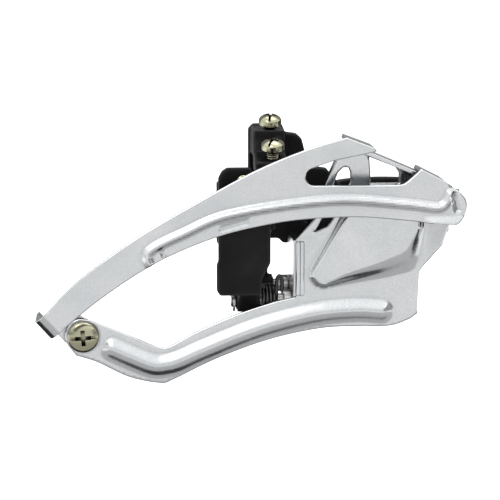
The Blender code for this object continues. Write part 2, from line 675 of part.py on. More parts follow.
def top_pin(name, centre, left, right, finish):
    """A pin with a thin head at its right end."""
    profile = [
        (0, left), (PIN_RADIUS - 0.3, left), (PIN_RADIUS, left + 0.3), (PIN_RADIUS, right),
        (2.9, right), (2.6, right + 0.8), (0, right + 0.9)]
    return turned(name, profile, "X", place("X", centre, 0.0), finish)


def hinge_pin(finish):
    """The clamp's hinge pin, riveted over at both ends."""
    shank, head = 1.15, 1.9
    seat = KNUCKLE_TOP + FIT
    end = seat + 0.6
    profile = [(0, -end), (head, -end), (head, -seat), (shank, -seat)]
    profile += [(radius, -height) for radius, height in profile[::-1]]
    return turned("clamp_hinge_pin", profile, "Z", (*CLAMP_HINGE, 0.0), finish)


def clip(name, centre, left, finish):
    """A push-on clip that holds a pin's plain end."""
    return ring(name, PIN_RADIUS + 0.05, 3.2, "X", centre, left, left + 0.6, finish)


def return_spring(finish):
    """A torsion spring on the low outer pivot, with a hook at each end."""
    turns, radius, wire_radius = 3.75, 4.5, 0.55
    left, right = -40.8, -36.9
    y, z = OUTER_LOW
    steps = int(turns * 16)
    coil = []
    for step in range(steps + 1):
        angle = math.radians(90.0) + 2 * math.pi * turns * step / steps
        x = left + (right - left) * step / steps
        coil.append((x, y + radius * math.cos(angle), z + radius * math.sin(angle)))
    hook_x = right
    leg_y = y - radius
    start_leg = [(left, y - 6.6, z + radius + 0.6), (left, y - 3.4, z + radius + 0.3)]
    hook = [(hook_x + 1.6 * part, leg_y, z + rise) for part, rise in (
        (0.0, 2.5), (0.0, 6.0), (0.12, 7.3), (0.5, 8.0), (0.88, 7.3), (1.0, 6.0), (1.0, 3.4))]
    return wire("return_spring", start_leg + coil[:-4] + hook, wire_radius, finish)


def anchor_bolt(finish):
    """The hex-head bolt that clamps the cable, with its thread in the outer link."""
    return turned(
        "cable_anchor_bolt",
        [(0, -40.0), (1.6, -40.0), (1.9, -39.6), (1.9, -34.4), (3.1, -34.4), (3.1, -32.4),
         (2.4, -31.8), (0, -31.6)],
        "Y", place("Y", ANCHOR, 0.0), finish)


def build():
    for leftover in list(bpy.data.objects):
        bpy.data.objects.remove(leftover, do_unlink=True)
    chrome = material("chrome_sheet", (0.70, 0.71, 0.72), 0.22, 1.0)
    black = material("black_paint", (0.008, 0.008, 0.009), 0.38, 0.0)
    zinc = material("zinc_screw", (0.58, 0.57, 0.47), 0.3, 1.0)
    steel = material("pin_steel", (0.45, 0.45, 0.45), 0.35, 1.0)
    bush_plastic = material("bush_plastic", (0.12, 0.12, 0.12), 0.5, 0.0)
    spring_steel = material("spring_steel", (0.03, 0.03, 0.03), 0.4, 1.0)

    bracket(black)
    top_pin("outer_link_pin", OUTER_TOP, LEFT_EAR[0] - 1.2, RIGHT_EAR[1] + 0.3, steel)
    top_pin("inner_link_pin", INNER_TOP, -42.6, RIGHT_EAR[1] + 0.3, steel)
    clip("outer_link_pin_clip", OUTER_TOP, LEFT_EAR[0] - 0.8, steel)
    clip("inner_link_pin_clip", INNER_TOP, -42.2, steel)
    hinge_pin(steel)

    band_axis = pivot_empty("clamp_hinge_axis", (*CLAMP_HINGE, 0.0))
    hang(band_axis, clamp_band(black), clamp_bolt(zinc))

    high_axis = pivot_empty("high_limit_screw_axis", (LIMIT_SCREW_X, *HIGH_SCREW_TIP))
    hang(high_axis, limit_screw("high_limit_screw", HIGH_SCREW_TIP, HIGH_SCREW_LENGTH, zinc))
    low_axis = pivot_empty("low_limit_screw_axis", (LIMIT_SCREW_X, *LOW_SCREW_TIP))
    hang(low_axis, limit_screw("low_limit_screw", LOW_SCREW_TIP, LOW_SCREW_LENGTH, zinc))

    link_axis = pivot_empty("link_axis", (-45.0, *OUTER_TOP))
    hang(
        link_axis,
        outer_link(black),
        ring("outer_top_bush", BUSH_INNER, BUSH_OUTER, "X", OUTER_TOP, LEFT_EAR[1] + 0.2, -36.9, bush_plastic),
        ring("outer_low_bush", BUSH_INNER, BUSH_OUTER, "X", OUTER_LOW, -48.4, -41.6, bush_plastic),
        return_spring(spring_steel),
        anchor_bolt(zinc),
        ring("cable_washer", 2.05, 3.1, "Y", ANCHOR, -35.9, -34.7, steel))

    inner_axis = pivot_empty("inner_link_axis", (-38.2, *INNER_TOP))
    hang(
        inner_axis,
        inner_link(black),
        ring("inner_top_bush", BUSH_INNER, BUSH_OUTER, "X", INNER_TOP, -39.8, -36.7, bush_plastic),
        ring("inner_low_bush", BUSH_INNER, BUSH_OUTER, "X", INNER_LOW, -43.3, -36.7, bush_plastic))

    cage_axis = pivot_empty("cage_axis", (-45.0, *OUTER_LOW))
    tail_seat = (TAIL_SCREW[0], INNER_FACE - FIT, TAIL_SCREW[1])
    hang(
        cage_axis,
        outer_plate(chrome),
        inner_plate(chrome),
        pan_head_screw("tail_screw", "Y", tail_seat, -1, TAIL_HEAD, (2.4, 5.2), zinc),
        low_pin("outer_cage_pin", OUTER_LOW, -50.0, steel),
        low_pin("inner_cage_pin", INNER_LOW, -44.6, steel),
        clip("outer_cage_pin_clip", OUTER_LOW, -49.4, steel),
        clip("inner_cage_pin_clip", INNER_LOW, -44.2, steel))

    for made in bpy.data.objects:
        if made.type == "MESH":
            to_metres(made)


build()
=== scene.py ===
"""Looks for a front derailleur: fine pressed cage plates, screws, spring, materials, light, camera.

Lengths are millimetres in the builders and turn into metres where a mesh is made. The frame is
the CAD's: the origin is on the seat tube's axis, +X forward, +Y away from the drive side, +Z up.
"""

import math

import bmesh
import bpy
import numpy as np
from mathutils import Euler, Matrix, Vector
from mathutils.geometry import delaunay_2d_cdt


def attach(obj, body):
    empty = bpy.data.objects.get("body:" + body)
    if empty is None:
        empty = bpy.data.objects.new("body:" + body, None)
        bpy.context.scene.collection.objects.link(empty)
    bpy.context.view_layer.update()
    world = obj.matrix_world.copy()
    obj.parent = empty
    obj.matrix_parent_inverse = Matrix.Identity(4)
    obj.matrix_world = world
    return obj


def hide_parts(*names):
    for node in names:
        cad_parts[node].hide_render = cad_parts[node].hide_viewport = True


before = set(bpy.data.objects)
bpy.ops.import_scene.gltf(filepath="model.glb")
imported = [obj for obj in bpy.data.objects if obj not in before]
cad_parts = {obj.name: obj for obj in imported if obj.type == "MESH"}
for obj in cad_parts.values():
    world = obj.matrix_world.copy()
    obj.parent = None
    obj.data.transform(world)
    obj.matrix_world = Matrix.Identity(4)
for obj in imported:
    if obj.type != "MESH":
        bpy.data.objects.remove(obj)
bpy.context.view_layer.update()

MM = 0.001

# ---- sizes shared with the CAD, in millimetres ----
SHEET = 1.2
OUTER_FACE = -48.0
INNER_FACE = -36.0
FIT = 0.3
OUTER_LOW = (-29.0, -22.7)       # Y, Z of the low outer pivot
INNER_LOW = (-18.0, -20.4)
REAR_FLANGE = (-32.2, -31.0)
LIMIT_SCREW_X = -37.8
LIMIT_SCREW_LEAN = math.radians(15.0)
HIGH_SCREW_TIP = (-27.4, 12.4)
LOW_SCREW_TIP = (-16.9, 16.6)
HIGH_SCREW_LENGTH = 9.6
LOW_SCREW_LENGTH = 11.6
LIMIT_HEAD = (3.35, 3.2)         # radius, height
TAIL_HEAD = (4.5, 2.7)
TAIL_SCREW = (-92.9, -31.2)
ANCHOR = (-46.9, 13.6)

# ---- fineness ----
GRID = 0.62                      # distance between a sheet's inner points
GRID_ROW = 0.87                  # distance between their rows, as a share of GRID
RIM_STEP = 0.6                   # distance between points along a sheet's rim
RIM_ROUND = 0.42                 # radius of a sheet's rolled rim
RIM_RINGS = (0.12, 0.42, 1.0)    # rings of points that follow the rim, as shares of its radius
RING_TRIM = 0.93                 # a ring's points nearer to the rim than this share are dropped
MERGE = 1e-4                     # points of a sheet that are nearer than this are one point
EDGE_ROUND = 0.25                # bevel on folded flanges
FLANGE_SHARP = 30.0              # degrees of fold above which an edge is bevelled
CURL_SHARP = 50.0                # the same on the tail, where the bend itself stays as it is
BEVEL_STEPS = 3
CURVE_STEPS = 5                  # pieces between two points of a curve
ROUND = 48                       # sides of a full circle
THREAD_SIDES = 32
THREAD_ROWS = 8                  # rows of points in one turn of a thread
WIRE_SIDES = 14
SMOOTH_ANGLE = math.radians(38.0)
TINY = 1e-9


# ---- outlines ----
def curve(points):
    """A smooth line through the points (Catmull-Rom)."""
    ends = [points[0]] + list(points) + [points[-1]]
    line = []
    for before, start, stop, after in zip(ends, ends[1:], ends[2:], ends[3:]):
        for step in range(CURVE_STEPS):
            t = step / CURVE_STEPS
            line.append(tuple(
                0.5 * (2 * b + (c - a) * t + (2 * a - 5 * b + 4 * c - d) * t ** 2
                       + (3 * b - a - 3 * c + d) * t ** 3)
                for a, b, c, d in zip(before, start, stop, after)))
    return line + [tuple(points[-1])]


def arc(centre, radius, start, stop, steps=12):
    """Points on a circle, with the angles in degrees."""
    angles = [math.radians(start + (stop - start) * step / steps) for step in range(steps + 1)]
    return [(centre[0] + radius * math.cos(a), centre[1] + radius * math.sin(a)) for a in angles]


def offset(line, distance):
    """The line moved sideways, to its left for a positive distance."""
    moved = []
    for index, point in enumerate(line):
        before = Vector(line[max(index - 1, 0)])
        along = (Vector(line[min(index + 1, len(line) - 1)]) - before).normalized()
        moved.append((point[0] - distance * along.y, point[1] + distance * along.x))
    return moved


def strip(line, thickness):
    """The closed outline of a strip that lies to the left of the line."""
    return list(line) + offset(line, thickness)[::-1]


def closed(line):
    return list(line) + [line[0]]


def stepped(line, step):
    """A closed line cut into pieces no longer than `step`."""
    points = []
    for start, stop in zip(line, line[1:] + line[:1]):
        a, b = Vector(start), Vector(stop)
        pieces = max(1, math.ceil((b - a).length / step))
        points.extend(tuple(a.lerp(b, piece / pieces)) for piece in range(pieces))
    return points


def distance_to(line, points):
    """Distance from each of many points to a line of straight pieces."""
    nearest = np.full(len(points), np.inf)
    for start, stop in zip(line, line[1:]):
        a = np.array(start)
        run = np.array(stop) - a
        length = float(run @ run)
        if length < TINY:
            continue
        part = np.clip((points - a) @ run / length, 0.0, 1.0)
        nearest = np.minimum(nearest, np.linalg.norm(points - a - part[:, None] * run, axis=1))
    return nearest


def inside(outline, points):
    """Which of many points lie inside the closed outline."""
    x, z = points[:, 0], points[:, 1]
    odd = np.zeros(len(points), dtype=bool)
    for (ax, az), (bx, bz) in zip(outline, outline[1:] + outline[:1]):
        if az != bz:
            odd ^= ((az > z) != (bz > z)) & (x < (bx - ax) * (z - az) / (bz - az) + ax)
    return odd


def eased(share):
    """A smooth step from 0 to 1."""
    share = np.clip(share, 0.0, 1.0)
    return share * share * (3.0 - 2.0 * share)


def bump(distance, half_width, fullness=1.0):
    """The rounded cross-section of a pressed rib, 1 on its crest and 0 at its foot."""
    share = np.clip(distance / half_width, 0.0, 1.0)
    return (0.5 + 0.5 * np.cos(math.pi * share)) ** fullness


# ---- meshes ----
def make(name, bm, finish, body, slot, *nodes):
    """Makes a piece from a bmesh in millimetres. It rides on a body and stands for CAD nodes."""
    bmesh.ops.recalc_face_normals(bm, faces=bm.faces)
    bm.transform(Matrix.Scale(MM, 4))
    mesh = bpy.data.meshes.new(name)
    bm.to_mesh(mesh)
    bm.free()
    mesh.shade_smooth()
    mesh.set_sharp_from_angle(angle=SMOOTH_ANGLE)
    mesh.materials.append(finish)
    piece = bpy.data.objects.new(name, mesh)
    bpy.context.scene.collection.objects.link(piece)
    normals = piece.modifiers.new("even normals", "WEIGHTED_NORMAL")
    normals.keep_sharp = True
    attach(piece, body)
    if nodes:
        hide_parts(*nodes)
    return piece


def round_edges(bm, sharp, radius=EDGE_ROUND, steps=BEVEL_STEPS):
    """Bevels the edges that fold by more than `sharp` degrees."""
    hard = [edge for edge in bm.edges if edge.calc_face_angle(0.0) > math.radians(sharp)]
    bmesh.ops.bevel(
        bm, geom=hard, offset=radius, offset_type="OFFSET", segments=steps, profile=0.5,
        affect="EDGES", clamp_overlap=True)


def add_prism(bm, outline, axis, low, high):
    """An outline pushed along X or Y, with its edges rounded."""
    def place(point, along):
        first, second = point
        return (along, first, second) if axis == "X" else (first, along, second)
    part = bmesh.new()
    bottom = [part.verts.new(place(point, low)) for point in outline]
    top = [part.verts.new(place(point, high)) for point in outline]
    part.faces.new(bottom)
    part.faces.new(top[::-1])
    for index in range(len(outline)):
        after = (index + 1) % len(outline)
        part.faces.new((bottom[index], top[index], top[after], bottom[after]))
    bmesh.ops.recalc_face_normals(part, faces=part.faces)
    round_edges(part, FLANGE_SHARP)
    append(bm, part)


def append(bm, part, matrix=None):
    """Adds one bmesh to another and frees it."""
    if matrix is not None:
        part.transform(matrix)
    mesh = bpy.data.meshes.new("appended")
    part.to_mesh(mesh)
    part.free()
    bm.from_mesh(mesh)
    bpy.data.meshes.remove(mesh)


def lathe(profile, sides=ROUND):
    """A closed profile of (radius, height) points turned about Z."""
    bm = bmesh.new()
    rings = []
    for radius, height in profile:
        count = sides if radius > 0 else 1
        rings.append([
            bm.verts.new((
                radius * math.cos(2 * math.pi * side / sides),
                radius * math.sin(2 * math.pi * side / sides), height))
            for side in range(count)])
    for upper, lower in zip(rings, rings[1:]):
        for side in range(sides):
            after = (side + 1) % sides
            if len(upper) == 1:
                bm.faces.new((upper[0], lower[side], lower[after]))
            elif len(lower) == 1:
                bm.faces.new((upper[side], upper[after], lower[0]))
            else:
                bm.faces.new((upper[side], upper[after], lower[after], lower[side]))
    bmesh.ops.recalc_face_normals(bm, faces=bm.faces)
    return bm


CREST_FULLNESS = 0.8             # below 1 the crests are fuller than the grooves
TIP_SIZE, TIP_GROWTH = 0.85, 0.15    # a rod's size at its tip, and how much it grows from there
TIP_START = 0.3                  # share of that growth that the tip already has


def thread(root, crest, low, high, pitch):
    """A threaded rod about Z: its surface is a helix with rounded crests."""
    bm = bmesh.new()
    count = int((high - low) / pitch * THREAD_ROWS)
    rings = []
    for row in range(count + 1):
        z = low + (high - low) * row / count
        growth = min(1.0, (z - low) / pitch + TIP_START)
        ring = []
        for side in range(THREAD_SIDES):
            turn = (z / pitch - side / THREAD_SIDES) % 1.0
            share = (0.5 + 0.5 * math.cos(2 * math.pi * turn)) ** CREST_FULLNESS
            radius = (root + (crest - root) * share) * (TIP_SIZE + TIP_GROWTH * growth)
            angle = 2 * math.pi * side / THREAD_SIDES
            ring.append(bm.verts.new((radius * math.cos(angle), radius * math.sin(angle), z)))
        rings.append(ring)
    for lower, upper in zip(rings, rings[1:]):
        for side in range(THREAD_SIDES):
            after = (side + 1) % THREAD_SIDES
            bm.faces.new((lower[side], lower[after], upper[after], upper[side]))
    bm.faces.new(rings[0][::-1])
    bm.faces.new(rings[-1])
    return bm


def carved(head, cutters):
    """A head with cutters taken out of it by exact Booleans."""
    def temporary(bm, name):
        mesh = bpy.data.meshes.new(name)
        bm.to_mesh(mesh)
        bm.free()
        made = bpy.data.objects.new(name, mesh)
        bpy.context.scene.collection.objects.link(made)
        return made
    target = temporary(head, "carved_head")
    for index, cutter in enumerate(cutters):
        tool = temporary(cutter, f"head_cutter_{index}")
        boolean = target.modifiers.new("cut", "BOOLEAN")
        boolean.operation = "DIFFERENCE"
        boolean.solver = "EXACT"
        boolean.object = tool
        bpy.context.view_layer.update()
        result = bmesh.new()
        result.from_mesh(target.evaluated_get(bpy.context.evaluated_depsgraph_get()).to_mesh())
        target.modifiers.remove(boolean)
        result.to_mesh(target.data)
        result.free()
        bpy.data.objects.remove(tool, do_unlink=True)
    done = bmesh.new()
    done.from_mesh(target.data)
    bpy.data.objects.remove(target, do_unlink=True)
    return done


WIRE_END = 0.72                  # a wire's end ring, as a share of its radius


def wire(points, radius):
    """A round wire along the points, a little thinner at its two ends."""
    bm = bmesh.new()
    rings = []
    side_way = Vector((1, 0, 0))
    last = len(points) - 1
    for index, point in enumerate(points):
        before = Vector(points[max(index - 1, 0)])
        along = (Vector(points[min(index + 1, last)]) - before).normalized()
        side_way = (side_way - along * side_way.dot(along)).normalized()
        other_way = along.cross(side_way)
        width = radius * (WIRE_END if index in (0, last) else 1.0)
        rings.append([
            bm.verts.new(Vector(point) + width * (
                side_way * math.cos(2 * math.pi * side / WIRE_SIDES)
                + other_way * math.sin(2 * math.pi * side / WIRE_SIDES)))
            for side in range(WIRE_SIDES)])
    for first, second in zip(rings, rings[1:]):
        for side in range(WIRE_SIDES):
            after = (side + 1) % WIRE_SIDES
            bm.faces.new((first[side], first[after], second[after], second[side]))
    bm.faces.new(rings[0][::-1])
    bm.faces.new(rings[-1])
    return bm


def pressed_sheet(outline, holes, height, face):
    """A sheet in the XZ plane with a rolled rim, pressed towards -Y by height(points)."""
    loops = [stepped(loop, RIM_STEP) for loop in [outline] + holes]
    points = []
    edges = []
    for loop in loops:
        first = len(points)
        points.extend(loop)
        edges.extend((first + i, first + i + 1) for i in range(len(loop) - 1))
        edges.append((len(points) - 1, first))
    rims = [closed(loop) for loop in [outline] + holes]

    def to_rim(many):
        return np.min([distance_to(rim, many) for rim in rims], axis=0)

    def in_sheet(many):
        keep = inside(outline, many)
        for hole in holes:
            keep &= ~inside(hole, many)
        return keep

    for depth in [share * RIM_ROUND for share in RIM_RINGS]:
        for loop in loops:
            for side in (-depth, depth):
                ring = np.array(offset(loop, side))
                points.extend(map(tuple, ring[in_sheet(ring) & (to_rim(ring) > RING_TRIM * depth)]))
    xs, zs = zip(*outline)
    grid = np.array([
        (x + (GRID / 2 if row % 2 else 0.0), z)
        for row, z in enumerate(np.arange(min(zs), max(zs), GRID * GRID_ROW))
        for x in np.arange(min(xs), max(xs), GRID)])
    points.extend(map(tuple, grid[in_sheet(grid) & (to_rim(grid) > RIM_ROUND + GRID / 3)]))
    flat, _, faces, _, _, _ = delaunay_2d_cdt([Vector(p) for p in points], edges, [], 0, MERGE)
    places = np.array([tuple(p) for p in flat])
    middles = np.array([places[list(corners)].mean(axis=0) for corners in faces])
    rise = height(places)
    short = np.clip(1.0 - to_rim(places) / RIM_ROUND, 0.0, 1.0)
    drop = RIM_ROUND * (1.0 - np.sqrt(np.clip(1.0 - short ** 2, 0.0, 1.0)))
    bm = bmesh.new()
    front = [bm.verts.new((x, face - h + d, z)) for (x, z), h, d in zip(places, rise, drop)]
    back = [
        bm.verts.new((x, face - h + SHEET - d, z)) for (x, z), h, d in zip(places, rise, drop)]
    for corners, good in zip(faces, in_sheet(middles)):
        if good:
            bm.faces.new([front[i] for i in corners])
            bm.faces.new([back[i] for i in reversed(corners)])
    fronts = set(front)
    pairs = dict(zip(front, back))
    for edge in [e for e in bm.edges if e.is_boundary and e.verts[0] in fronts]:
        start, stop = edge.verts
        bm.faces.new((start, stop, pairs[stop], pairs[start]))
    for loose in [v for v in bm.verts if not v.link_faces]:
        bm.verts.remove(loose)
    return bm


# ---- materials ----
HOLLOW_REACH = 0.0016            # metres over which a hollow is darkened with painted shade
HOLLOW_SAMPLES = 8
METAL_CLOUDS = 70.0              # scales of the noise textures
METAL_GRAIN = 2600.0
METAL_SMEARS = 260.0
PAINT_CLOUDS = 120.0
PAINT_PEEL = 900.0


def new_material(name):
    made = bpy.data.materials.new(name)
    made.use_nodes = True
    nodes = made.node_tree.nodes
    links = made.node_tree.links
    return made, nodes, links, nodes["Principled BSDF"]


def noise(nodes, links, scale, detail):
    """A noise texture over the object."""
    where = nodes.new("ShaderNodeTexCoord")
    texture = nodes.new("ShaderNodeTexNoise")
    texture.inputs["Scale"].default_value = scale
    texture.inputs["Detail"].default_value = detail
    links.new(where.outputs["Object"], texture.inputs["Vector"])
    return texture.outputs["Fac"]


def edge_shade(nodes, links, stops):
    """A colour that follows how convex the surface is: worn edges above 0.5, painted shade in
    creases below.
    """
    geometry = nodes.new("ShaderNodeNewGeometry")
    return ramp(nodes, links, geometry.outputs["Pointiness"], stops)


def ramp(nodes, links, source, stops):
    """A colour ramp; stops are (position, colour), with a grey given as one number."""
    made = nodes.new("ShaderNodeValToRGB")
    elements = made.color_ramp.elements
    for index, (position, colour) in enumerate(stops):
        element = elements[index] if index < 2 else elements.new(position)
        element.position = position
        element.color = (*([colour] * 3 if isinstance(colour, float) else colour), 1.0)
    links.new(source, made.inputs["Fac"])
    return made.outputs["Color"]


def add_bumps(nodes, links, shader, *layers):
    """Stacks bump layers, each (source, strength, distance in metres)."""
    normal = None
    for source, strength, distance in layers:
        made = nodes.new("ShaderNodeBump")
        made.inputs["Strength"].default_value = strength
        made.inputs["Distance"].default_value = distance
        links.new(source, made.inputs["Height"])
        if normal:
            links.new(normal, made.inputs["Normal"])
        normal = made.outputs["Normal"]
    links.new(normal, shader.inputs["Normal"])


def mixed(nodes, links, first, second, blend="MULTIPLY", share=1.0):
    """Two colours multiplied or added together, by a fixed share."""
    mix = nodes.new("ShaderNodeMix")
    mix.data_type = "RGBA"
    mix.blend_type = blend
    mix.inputs["Factor"].default_value = share
    links.new(first, mix.inputs["A"])
    links.new(second, mix.inputs["B"])
    return mix.outputs["Result"]


def metal(name, low, high, roughness, grain=0.3):
    """A metal with cloudy colour, fine grain, smears in its gloss, and painted shade darkening its
    creases and hollows.
    """
    made, nodes, links, shader = new_material(name)
    shader.inputs["Metallic"].default_value = 1.0
    clouds = noise(nodes, links, METAL_CLOUDS, 5.0)
    grains = noise(nodes, links, METAL_GRAIN, 3.0)
    smears = noise(nodes, links, METAL_SMEARS, 6.0)
    colour = ramp(nodes, links, clouds, [(0.3, low), (0.7, high)])
    fleck = ramp(nodes, links, grains, [(0.35, 0.88), (0.65, 1.0)])
    colour = mixed(nodes, links, colour, fleck)
    # painted shade: concave creases are darkened in the colour, found by pointiness
    creases = edge_shade(nodes, links, [(0.44, 0.72), (0.5, 0.96), (0.56, 1.0)])
    colour = mixed(nodes, links, colour, creases, share=0.8)
    # painted shade: hollows and recesses found by ambient occlusion are darkened in the colour
    hollows = nodes.new("ShaderNodeAmbientOcclusion")
    hollows.samples = HOLLOW_SAMPLES
    hollows.inputs["Distance"].default_value = HOLLOW_REACH
    painted_hollow_shade = ramp(nodes, links, hollows.outputs["AO"], [(0.4, 0.01), (0.85, 1.0)])
    colour = mixed(nodes, links, colour, painted_hollow_shade)
    links.new(colour, shader.inputs["Base Color"])
    rough = ramp(nodes, links, smears, [(0.3, roughness * 0.82), (0.7, roughness * 1.22)])
    links.new(rough, shader.inputs["Roughness"])
    add_bumps(nodes, links, shader, (grains, grain, 0.00003), (smears, 0.02, 0.0001))
    return made


def black_coat(name, low, high, roughness):
    """Black paint over metal: a little orange peel, dusty patches and greyer worn edges."""
    made, nodes, links, shader = new_material(name)
    shader.inputs["Specular IOR Level"].default_value = 0.1
    clouds = noise(nodes, links, PAINT_CLOUDS, 6.0)
    peel = noise(nodes, links, PAINT_PEEL, 3.0)
    colour = ramp(nodes, links, clouds, [(0.35, low), (0.75, high)])
    worn = edge_shade(nodes, links, [(0.5, 0.0), (0.6, 0.022)])
    links.new(mixed(nodes, links, colour, worn, "ADD"), shader.inputs["Base Color"])
    rough = ramp(nodes, links, clouds, [(0.3, roughness * 0.85), (0.7, roughness * 1.2)])
    links.new(rough, shader.inputs["Roughness"])
    add_bumps(nodes, links, shader, (peel, 0.12, 0.00008))
    return made


CHROME = metal("chrome_sheet_finish", (0.50, 0.515, 0.525), (0.56, 0.57, 0.58), 0.17)
ZINC = metal("zinc_screw_finish", (0.33, 0.32, 0.22), (0.44, 0.43, 0.31), 0.2, grain=0.2)
STEEL = metal("pin_steel_finish", (0.38, 0.38, 0.37), (0.50, 0.50, 0.49), 0.32)
SPRING = metal("spring_steel_finish", (0.03, 0.03, 0.03), (0.07, 0.07, 0.07), 0.36)
BLACK = black_coat("black_paint_finish", 0.0025, 0.007, 0.38)
BUSH = black_coat("bush_plastic_finish", 0.012, 0.03, 0.55)


# ---- sheet metal ----
RIB_FULLNESS = 0.8               # below 1 a rib's crest is fuller than a plain wave's
FLANGE_ROOT = 0.4                # how far inside its sheet a flange starts


# ---- the outer cage plate ----
TAB_REAR = [(-18.5, 27.0), (-10.5, 24.0)]
TAB_FRONT = [(2.5, 18.0), (9.5, 14.5)]
TAIL_BEND = [(-103.0, -22.0), (-98.5, -27.0)]
TAIL_RADIUS = 4.5
TAIL_START = [(-3.0, 0.5), (-1.0, 0.02)]     # the bend's strip starts inside the sheet
TAB_CLEARANCE = 1.0              # between the tabs' ends and the inner plate's face
LUG = [(-104.0, -26.0), (-101.0, -30.0), (-98.0, -33.5)]
LUG_RADIUS = 5.0                 # round the tail screw
LUG_END = (-97.5, -23.5)
WINDOW_END = (-27.5, 16.0)
WINDOW_RADIUS = 2.5
OUTER_RIB = curve([
    (-74.0, -8.0), (-74.5, -5.5), (-71.5, -3.0), (-64.0, 0.5), (-53.5, 5.0), (-37.0, 8.0),
    (-19.0, 9.5), (-1.0, 8.0), (7.0, 7.0), (9.5, 8.0), (11.0, 11.0)])
OUTER_RIB_HALF_WIDTH = 1.65
OUTER_RIB_HEIGHT = 1.1
NOSE_GROOVE = [(11.8, 12.5), (13.2, 6.5)]
NOSE_GROOVE_HALF_WIDTH = 1.5
NOSE_GROOVE_DEPTH = 0.7
NOSE_FACET_START = (1.5, 4.8)    # X, Z where the facet under the nose begins
NOSE_FACET_SLOPE = 0.4
NOSE_FACET_REACH = 4.0           # over which the facet starts
OUTER_PRESSINGS = [              # line, half width and depth of each small dent by the lower edge
    ([(-53.5, 1.5), (-46.5, 3.5)], 1.6, 0.45),
    ([(-70.5, -4.5), (-69.5, -6.5)], 1.0, 0.4)]


def outer_outline():
    top = curve([
        TAIL_BEND[0], (-93.0, -12.0), (-77.0, -0.5), (-62.5, 8.0), (-45.0, 17.5), (-30.5, 23.5),
        TAB_REAR[0]])
    window = [TAB_REAR[1], (-10.0, 23.0), (-22.0, 20.5)]
    window += arc(WINDOW_END, WINDOW_RADIUS, 105, 270)
    window += curve([(-4.0, 13.5), (-2.0, 14.0), (1.0, 16.5), TAB_FRONT[0]])
    nose = [TAB_FRONT[1], (12.0, 12.5)]
    nose += curve([(13.5, 11.5), (15.5, 9.0), (15.5, 5.5), (14.0, 3.0), (12.5, 2.0)])
    low = curve([
        (6.0, 2.5), (-3.0, 3.5), (-15.5, 4.5), (-30.0, 4.0), (-41.0, 2.5), (-55.5, -1.0),
        (-72.0, -8.0), (-87.5, -18.0), TAIL_BEND[1]])
    return top + window + nose + low


def outer_height(points):
    x, z = points[:, 0], points[:, 1]
    rise = OUTER_RIB_HEIGHT * bump(
        distance_to(OUTER_RIB, points), OUTER_RIB_HALF_WIDTH, RIB_FULLNESS)
    rise -= NOSE_GROOVE_DEPTH * bump(distance_to(NOSE_GROOVE, points), NOSE_GROOVE_HALF_WIDTH)
    for line, half_width, depth in OUTER_PRESSINGS:
        rise -= depth * bump(distance_to(line, points), half_width)
    below = np.clip(NOSE_FACET_START[1] - z, 0.0, None)
    wedge = eased((x - NOSE_FACET_START[0]) / NOSE_FACET_REACH)
    return rise + NOSE_FACET_SLOPE * below * wedge


def tail_curl(bm):
    """The plate's tail: a round bend, then a wall back to the inner plate."""
    start, stop = [Vector(point) for point in TAIL_BEND]
    out = Vector((-(start - stop).y, (start - stop).x)).normalized()
    lug_back = INNER_FACE + FIT + 2 * SHEET - OUTER_FACE
    bend = arc((0.0, TAIL_RADIUS), TAIL_RADIUS, -90, 0)
    profile = strip(TAIL_START + bend + [(TAIL_RADIUS, lug_back)], SHEET)
    part = bmesh.new()
    loops = []
    for corner in (start, stop):
        loops.append([
            part.verts.new((corner.x + out.x * away, OUTER_FACE + back, corner.y + out.y * away))
            for away, back in profile])
    part.faces.new(loops[0])
    part.faces.new(loops[1][::-1])
    for index in range(len(profile)):
        after = (index + 1) % len(profile)
        part.faces.new((loops[0][index], loops[1][index], loops[1][after], loops[0][after]))
    bmesh.ops.recalc_face_normals(part, faces=part.faces)
    round_edges(part, CURL_SHARP)
    append(bm, part)


def build_outer_plate():
    bm = pressed_sheet(outer_outline(), [], outer_height, OUTER_FACE)
    for line in (TAB_REAR, TAB_FRONT):
        add_prism(
            bm, strip(line, -SHEET), "Y", OUTER_FACE + FLANGE_ROOT, INNER_FACE - TAB_CLEARANCE)
    tail_curl(bm)
    lug_face = INNER_FACE + SHEET + FIT
    lug = LUG + arc(TAIL_SCREW, LUG_RADIUS, 200, 400) + [LUG_END]
    add_prism(bm, lug, "Y", lug_face, lug_face + SHEET)
    make("outer_plate_fine", bm, CHROME, "cage", "chrome_sheet", "outer_cage_plate")


# ---- the inner cage plate ----
INNER_RIB = curve([
    (-84.5, -35.0), (-78.0, -38.0), (-73.0, -40.0), (-69.5, -40.0), (-65.5, -39.0),
    (-57.5, -35.5), (-42.0, -29.5), (-26.0, -25.5), (-14.0, -24.5), (-6.5, -25.0)])
INNER_RIB_HALF_WIDTH = 3.7
INNER_RIB_HEIGHT = 1.5
DISH_HEIGHT = 4.0
DISH_CORNER = (3.5, -16.0)       # X, Z of the dish's deep corner
DISH_LEAN = (0.08, 0.06)         # how much shallower it gets per millimetre away from there
DISH_RIM = [
    (-20.0, 1.0), (-24.5, -7.0), (-28.0, -12.5), (-28.0, -15.0), (-26.5, -17.0), (-24.0, -18.0),
    (-5.0, -15.5), (2.0, -14.0), (4.0, -12.5), (5.0, -9.5), (6.0, 4.0), (3.0, 10.0),
    (-12.5, 11.0), (-15.5, 9.0)]
DISH_FACE = [
    (-18.0, 1.0), (-22.5, -7.0), (-26.0, -13.0), (-26.0, -14.5), (-24.5, -16.5), (-23.0, -16.5),
    (-18.0, -13.5), (-9.0, -10.0), (-0.5, -6.0), (2.0, -2.5), (3.5, 0.0), (3.5, 3.0), (1.5, 8.0),
    (-12.0, 8.5), (-14.0, 7.0)]
POST_RADIUS = 0.7                # the two rolled rods along the plate's rear fold
POST_LENGTH = 15.0
POST_SPACING = 1.5               # between the rods, as a share of the radius
POST_CAP = (0.8, 0.4)            # an end's radius as a share of the rod's, and its height
POST_PLACE = (0.2, 0.8)          # behind the sheet's face, and above the rear edge's foot
